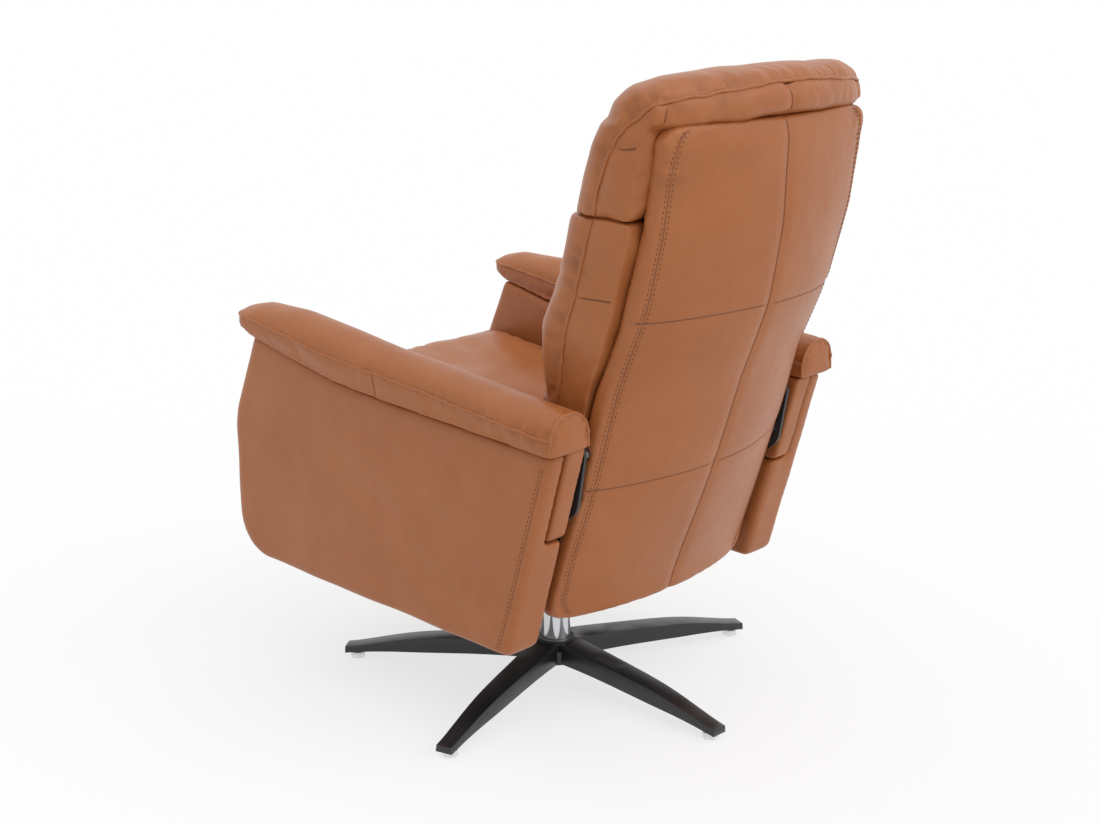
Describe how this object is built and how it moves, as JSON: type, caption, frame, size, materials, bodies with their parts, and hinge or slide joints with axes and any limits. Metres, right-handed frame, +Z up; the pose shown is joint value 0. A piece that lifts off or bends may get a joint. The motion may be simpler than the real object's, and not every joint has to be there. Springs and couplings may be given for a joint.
{
  "type": "recliner",
  "caption": "Swivel recliner with a tall padded back, a head roll, curved padded arms and a sliding seat with a fold-out leg rest, on a flat star base.",
  "frame": {"origin": "on the floor, on the swivel axis", "axes": "+Z up; the sitter faces -Y; +X is the sitter's left"},
  "size_m": [0.693, 0.8709, 1.016],
  "materials": {
    "base_paint": "satin",
    "glide_plastic": "gloss",
    "column_chrome": "polished",
    "bush_plastic": "matte",
    "bright_steel": "satin",
    "frame_paint": "satin",
    "plywood": "matte",
    "cover_leather": "satin",
    "webbing": "matte",
    "lining_cloth": "matte"
  },
  "bodies": {
    "base": {"star_base": "base_paint", "floor_glides": "glide_plastic", "column_tube": "column_chrome", "upper_bush": "bush_plastic", "lower_bush": "bush_plastic", "thrust_ring": "bush_plastic"},
    "chair_frame": {"spindle": "bright_steel", "spindle_clip": "bright_steel", "swivel_plate": "frame_paint", "front_cross_tube": "frame_paint", "rear_cross_tube": "frame_paint", "plate_bolts": "bright_steel", "left_side_rail": "frame_paint", "right_side_rail": "frame_paint", "left_yoke_arm": "frame_paint", "right_yoke_arm": "frame_paint", "left_arm_board": "plywood", "right_arm_board": "plywood", "left_arm_panel": "cover_leather", "right_arm_panel": "cover_leather", "arm_bolts": "bright_steel", "left_arm_pad": "cover_leather", "right_arm_pad": "cover_leather", "left_arm_tail": "cover_leather", "right_arm_tail": "cover_leather", "pivot_pins": "bright_steel", "pivot_washers": "bright_steel"},
    "back": {"left_back_bracket": "frame_paint", "right_back_bracket": "frame_paint", "lever_pins": "bright_steel", "bracket_spacers": "bright_steel", "bracket_bolts": "bright_steel", "back_frame": "plywood", "back_straps": "webbing", "back_shell": "cover_leather", "back_lining": "lining_cloth", "back_cushion": "cover_leather", "head_cushion": "cover_leather"},
    "left_link": {"left_drive_link": "frame_paint"},
    "right_link": {"right_drive_link": "frame_paint"},
    "seat": {"left_carriage_side": "frame_paint", "right_carriage_side": "frame_paint", "carriage_bars": "frame_paint", "carriage_pins": "bright_steel", "slide_blocks": "bush_plastic", "slide_studs": "bright_steel", "seat_deck": "plywood", "seat_straps": "webbing", "seat_cushion": "cover_leather", "legrest_pins": "bright_steel"},
    "legrest": {"left_legrest_arm": "frame_paint", "right_legrest_arm": "frame_paint", "crank_pins": "bright_steel", "legrest_board": "plywood", "legrest_pad": "cover_leather"}
  },
  "joints": [
    {"name": "swivel", "type": "hinge", "parent": "base", "child": "chair_frame", "pos_m": [0, 0, 0], "axis": [0, 0, 1], "continuous": true},
    {"name": "recline", "type": "hinge", "parent": "chair_frame", "child": "back", "pos_m": [0, 0.165, 0.345], "axis": [-1, 0, 0], "range_deg": [0, 28]},
    {"name": "seat_slide", "type": "slide", "parent": "chair_frame", "child": "seat", "axis": [0, -0.9945, 0.1045], "range_m": [0, 0.04357]},
    {"name": "legrest_swing", "type": "hinge", "parent": "seat", "child": "legrest", "pos_m": [0, -0.345, 0.308], "axis": [-1, 0, 0], "range_deg": [0, 85.01]},
    {"name": "left_link_swing", "type": "hinge", "parent": "back", "child": "left_link", "pos_m": [0, 0.18677, 0.25767], "axis": [-1, 0, 0], "range_deg": [-26.2, 0]},
    {"name": "right_link_swing", "type": "hinge", "parent": "back", "child": "right_link", "pos_m": [0, 0.18677, 0.25767], "axis": [-1, 0, 0], "range_deg": [-26.2, 0]}
  ],
  "couplings": [
    {"joint": "seat_slide", "follows": "recline", "m_per_rad": 0.08911},
    {"joint": "legrest_swing", "follows": "recline", "ratio": 3.0357},
    {"joint": "left_link_swing", "follows": "recline", "ratio": -0.932},
    {"joint": "right_link_swing", "follows": "recline", "ratio": -0.932}
  ]
}
